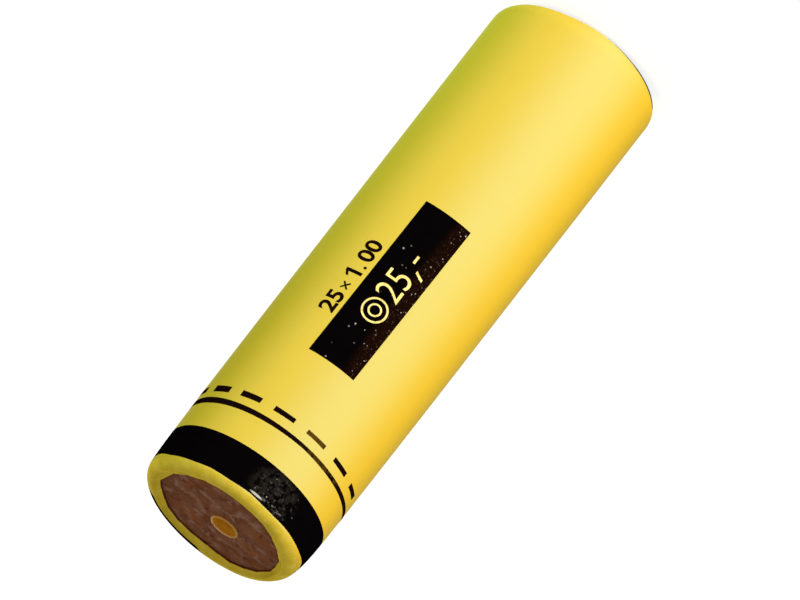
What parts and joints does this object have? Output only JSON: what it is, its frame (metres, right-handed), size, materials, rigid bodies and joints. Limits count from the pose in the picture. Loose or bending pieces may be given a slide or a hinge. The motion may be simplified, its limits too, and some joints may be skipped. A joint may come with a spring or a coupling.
{
  "type": "coin tube",
  "caption": "Slim cylindrical coin tube: a paper-wrapped board liner packed with stacked coins, with crimped ends, vented end discs, end plugs and a tear-off marked end.",
  "frame": {"origin": "centre of the plain end's base plane, with the tube standing on that end", "axes": "+Z along the tube from the plain end to the marked tear-off end, -Y towards the front of the print"},
  "size_m": [0.0246, 0.0246, 0.0843],
  "materials": {
    "wrapping_paper": "matt",
    "liner_board": "matt",
    "disc_board": "matt",
    "plug_board": "matt",
    "coin_ring_alloy": "satin",
    "coin_core_alloy": "satin"
  },
  "bodies": {
    "tube": {"wrapper_body": "wrapping_paper", "body_liner": "liner_board", "far_end_disc": "disc_board", "far_end_plug": "plug_board"},
    "tear_off_end": {"wrapper_cap": "wrapping_paper", "cap_liner": "liner_board", "near_end_disc": "disc_board", "near_end_plug": "plug_board"},
    "coin_01": {"coin_01_ring": "coin_ring_alloy", "coin_01_core": "coin_core_alloy"},
    "coin_02": {"coin_02_ring": "coin_ring_alloy", "coin_02_core": "coin_core_alloy"},
    "coin_03": {"coin_03_ring": "coin_ring_alloy", "coin_03_core": "coin_core_alloy"},
    "coin_04": {"coin_04_ring": "coin_ring_alloy", "coin_04_core": "coin_core_alloy"},
    "coin_05": {"coin_05_ring": "coin_ring_alloy", "coin_05_core": "coin_core_alloy"},
    "coin_06": {"coin_06_ring": "coin_ring_alloy", "coin_06_core": "coin_core_alloy"},
    "coin_07": {"coin_07_ring": "coin_ring_alloy", "coin_07_core": "coin_core_alloy"},
    "coin_08": {"coin_08_ring": "coin_ring_alloy", "coin_08_core": "coin_core_alloy"},
    "coin_09": {"coin_09_ring": "coin_ring_alloy", "coin_09_core": "coin_core_alloy"},
    "coin_10": {"coin_10_ring": "coin_ring_alloy", "coin_10_core": "coin_core_alloy"},
    "coin_11": {"coin_11_ring": "coin_ring_alloy", "coin_11_core": "coin_core_alloy"},
    "coin_12": {"coin_12_ring": "coin_ring_alloy", "coin_12_core": "coin_core_alloy"},
    "coin_13": {"coin_13_ring": "coin_ring_alloy", "coin_13_core": "coin_core_alloy"},
    "coin_14": {"coin_14_ring": "coin_ring_alloy", "coin_14_core": "coin_core_alloy"},
    "coin_15": {"coin_15_ring": "coin_ring_alloy", "coin_15_core": "coin_core_alloy"},
    "coin_16": {"coin_16_ring": "coin_ring_alloy", "coin_16_core": "coin_core_alloy"},
    "coin_17": {"coin_17_ring": "coin_ring_alloy", "coin_17_core": "coin_core_alloy"},
    "coin_18": {"coin_18_ring": "coin_ring_alloy", "coin_18_core": "coin_core_alloy"},
    "coin_19": {"coin_19_ring": "coin_ring_alloy", "coin_19_core": "coin_core_alloy"},
    "coin_20": {"coin_20_ring": "coin_ring_alloy", "coin_20_core": "coin_core_alloy"},
    "coin_21": {"coin_21_ring": "coin_ring_alloy", "coin_21_core": "coin_core_alloy"},
    "coin_22": {"coin_22_ring": "coin_ring_alloy", "coin_22_core": "coin_core_alloy"},
    "coin_23": {"coin_23_ring": "coin_ring_alloy", "coin_23_core": "coin_core_alloy"},
    "coin_24": {"coin_24_ring": "coin_ring_alloy", "coin_24_core": "coin_core_alloy"},
    "coin_25": {"coin_25_ring": "coin_ring_alloy", "coin_25_core": "coin_core_alloy"}
  },
  "joints": [
    {"name": "end_pull", "type": "slide", "parent": "tube", "child": "tear_off_end", "axis": [0, 0, 1], "range_m": [0, 0.13]},
    {"name": "coin_01_slide", "type": "slide", "parent": "tube", "child": "coin_01", "axis": [0, 0, 1], "range_m": [0, 0.005]},
    {"name": "coin_02_slide", "type": "slide", "parent": "tube", "child": "coin_02", "axis": [0, 0, 1], "range_m": [0, 0.01]},
    {"name": "coin_03_slide", "type": "slide", "parent": "tube", "child": "coin_03", "axis": [0, 0, 1], "range_m": [0, 0.015]},
    {"name": "coin_04_slide", "type": "slide", "parent": "tube", "child": "coin_04", "axis": [0, 0, 1], "range_m": [0, 0.02]},
    {"name": "coin_05_slide", "type": "slide", "parent": "tube", "child": "coin_05", "axis": [0, 0, 1], "range_m": [0, 0.025]},
    {"name": "coin_06_slide", "type": "slide", "parent": "tube", "child": "coin_06", "axis": [0, 0, 1], "range_m": [0, 0.03]},
    {"name": "coin_07_slide", "type": "slide", "parent": "tube", "child": "coin_07", "axis": [0, 0, 1], "range_m": [0, 0.035]},
    {"name": "coin_08_slide", "type": "slide", "parent": "tube", "child": "coin_08", "axis": [0, 0, 1], "range_m": [0, 0.04]},
    {"name": "coin_09_slide", "type": "slide", "parent": "tube", "child": "coin_09", "axis": [0, 0, 1], "range_m": [0, 0.045]},
    {"name": "coin_10_slide", "type": "slide", "parent": "tube", "child": "coin_10", "axis": [0, 0, 1], "range_m": [0, 0.05]},
    {"name": "coin_11_slide", "type": "slide", "parent": "tube", "child": "coin_11", "axis": [0, 0, 1], "range_m": [0, 0.055]},
    {"name": "coin_12_slide", "type": "slide", "parent": "tube", "child": "coin_12", "axis": [0, 0, 1], "range_m": [0, 0.06]},
    {"name": "coin_13_slide", "type": "slide", "parent": "tube", "child": "coin_13", "axis": [0, 0, 1], "range_m": [0, 0.065]},
    {"name": "coin_14_slide", "type": "slide", "parent": "tube", "child": "coin_14", "axis": [0, 0, 1], "range_m": [0, 0.07]},
    {"name": "coin_15_slide", "type": "slide", "parent": "tube", "child": "coin_15", "axis": [0, 0, 1], "range_m": [0, 0.075]},
    {"name": "coin_16_slide", "type": "slide", "parent": "tube", "child": "coin_16", "axis": [0, 0, 1], "range_m": [0, 0.08]},
    {"name": "coin_17_slide", "type": "slide", "parent": "tube", "child": "coin_17", "axis": [0, 0, 1], "range_m": [0, 0.085]},
    {"name": "coin_18_slide", "type": "slide", "parent": "tube", "child": "coin_18", "axis": [0, 0, 1], "range_m": [0, 0.09]},
    {"name": "coin_19_slide", "type": "slide", "parent": "tube", "child": "coin_19", "axis": [0, 0, 1], "range_m": [0, 0.095]},
    {"name": "coin_20_slide", "type": "slide", "parent": "tube", "child": "coin_20", "axis": [0, 0, 1], "range_m": [0, 0.1]},
    {"name": "coin_21_slide", "type": "slide", "parent": "tube", "child": "coin_21", "axis": [0, 0, 1], "range_m": [0, 0.105]},
    {"name": "coin_22_slide", "type": "slide", "parent": "tube", "child": "coin_22", "axis": [0, 0, 1], "range_m": [0, 0.11]},
    {"name": "coin_23_slide", "type": "slide", "parent": "tube", "child": "coin_23", "axis": [0, 0, 1], "range_m": [0, 0.115]},
    {"name": "coin_24_slide", "type": "slide", "parent": "tube", "child": "coin_24", "axis": [0, 0, 1], "range_m": [0, 0.12]},
    {"name": "coin_25_slide", "type": "slide", "parent": "tube", "child": "coin_25", "axis": [0, 0, 1], "range_m": [0, 0.125]}
  ],
  "couplings": [
    {"joint": "coin_01_slide", "follows": "end_pull", "ratio": 0.038462},
    {"joint": "coin_02_slide", "follows": "end_pull", "ratio": 0.076923},
    {"joint": "coin_03_slide", "follows": "end_pull", "ratio": 0.11539},
    {"joint": "coin_04_slide", "follows": "end_pull", "ratio": 0.15385},
    {"joint": "coin_05_slide", "follows": "end_pull", "ratio": 0.19231},
    {"joint": "coin_06_slide", "follows": "end_pull", "ratio": 0.23077},
    {"joint": "coin_07_slide", "follows": "end_pull", "ratio": 0.26923},
    {"joint": "coin_08_slide", "follows": "end_pull", "ratio": 0.30769},
    {"joint": "coin_09_slide", "follows": "end_pull", "ratio": 0.34615},
    {"joint": "coin_10_slide", "follows": "end_pull", "ratio": 0.38461},
    {"joint": "coin_11_slide", "follows": "end_pull", "ratio": 0.42308},
    {"joint": "coin_12_slide", "follows": "end_pull", "ratio": 0.46154},
    {"joint": "coin_13_slide", "follows": "end_pull", "ratio": 0.5},
    {"joint": "coin_14_slide", "follows": "end_pull", "ratio": 0.53846},
    {"joint": "coin_15_slide", "follows": "end_pull", "ratio": 0.57692},
    {"joint": "coin_16_slide", "follows": "end_pull", "ratio": 0.61538},
    {"joint": "coin_17_slide", "follows": "end_pull", "ratio": 0.65385},
    {"joint": "coin_18_slide", "follows": "end_pull", "ratio": 0.69231},
    {"joint": "coin_19_slide", "follows": "end_pull", "ratio": 0.73077},
    {"joint": "coin_20_slide", "follows": "end_pull", "ratio": 0.76923},
    {"joint": "coin_21_slide", "follows": "end_pull", "ratio": 0.80769},
    {"joint": "coin_22_slide", "follows": "end_pull", "ratio": 0.84615},
    {"joint": "coin_23_slide", "follows": "end_pull", "ratio": 0.88462},
    {"joint": "coin_24_slide", "follows": "end_pull", "ratio": 0.92308},
    {"joint": "coin_25_slide", "follows": "end_pull", "ratio": 0.96154}
  ]
}
